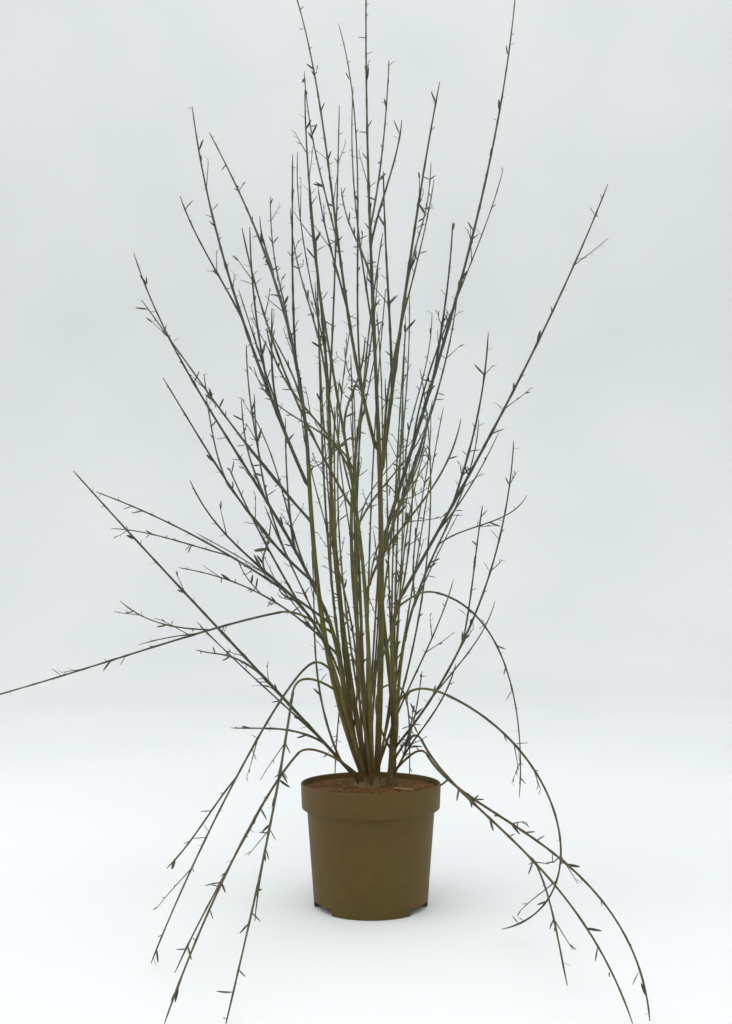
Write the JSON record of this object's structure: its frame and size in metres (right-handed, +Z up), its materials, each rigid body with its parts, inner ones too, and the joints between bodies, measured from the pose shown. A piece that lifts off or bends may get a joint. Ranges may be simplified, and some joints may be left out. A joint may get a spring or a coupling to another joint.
{
  "type": "potted spanish broom",
  "caption": "Potted Spanish broom: a many-stemmed shrub of thin, nearly leafless green wands, some upright and some arching down to the floor, in a round brown nursery pot.",
  "frame": {"origin": "centre of the pot's flat underside, on the floor", "axes": "+Z up along the pot's axis, -Y towards the viewer of the picture, +X to the viewer's right"},
  "size_m": [1.172, 1.0848, 1.8103],
  "materials": {
    "pot_plastic": "matt brown plastic",
    "soil": "loose moist compost",
    "olive_bark": "ribbed olive bark",
    "green_wands": "matt grey-green rind"
  },
  "bodies": {
    "root": {"pot": "pot_plastic", "soil": "soil", "trunk_crown": "olive_bark", "trunk_right": "olive_bark", "bough_centre": "olive_bark", "bough_centre_left": "olive_bark", "bough_left": "olive_bark", "bough_far_left": "olive_bark", "bough_left_low": "olive_bark", "bough_back": "olive_bark", "bough_front": "olive_bark", "bough_right_inner": "olive_bark", "bough_right": "olive_bark", "bough_right_back": "olive_bark", "arch_left_high": "olive_bark", "arch_left_middle": "olive_bark", "arch_left_low": "olive_bark", "arch_left_wide": "olive_bark", "arch_right_high": "olive_bark", "arch_right_middle": "olive_bark", "arch_right_low": "olive_bark", "arch_right_front": "olive_bark", "arch_back_left": "olive_bark", "arch_back_right": "olive_bark", "top_centre": "green_wands", "top_left": "green_wands", "top_right": "green_wands", "inner_left": "green_wands", "left_tall": "green_wands", "left_outer": "green_wands", "left_wide": "green_wands", "left_drift": "green_wands", "left_long": "green_wands", "left_level": "green_wands", "left_back_low": "green_wands", "left_wide_end": "green_wands", "left_low": "green_wands", "left_long_low": "green_wands", "basal_left": "green_wands", "basal_middle": "green_wands", "basal_right": "green_wands", "hang_left_high": "green_wands", "hang_left_middle": "green_wands", "hang_left_low": "green_wands", "right_tall": "green_wands", "right_inner": "green_wands", "right_wide": "green_wands", "right_low": "green_wands", "right_back": "green_wands", "right_shoot": "green_wands", "hang_right_high": "green_wands", "hang_right_middle": "green_wands", "hang_right_low": "green_wands", "hang_right_front": "green_wands", "back_middle": "green_wands", "back_right": "green_wands", "front_middle": "green_wands", "front_right": "green_wands", "hang_back_left": "green_wands", "hang_back_right": "green_wands"}
  },
  "joints": []
}
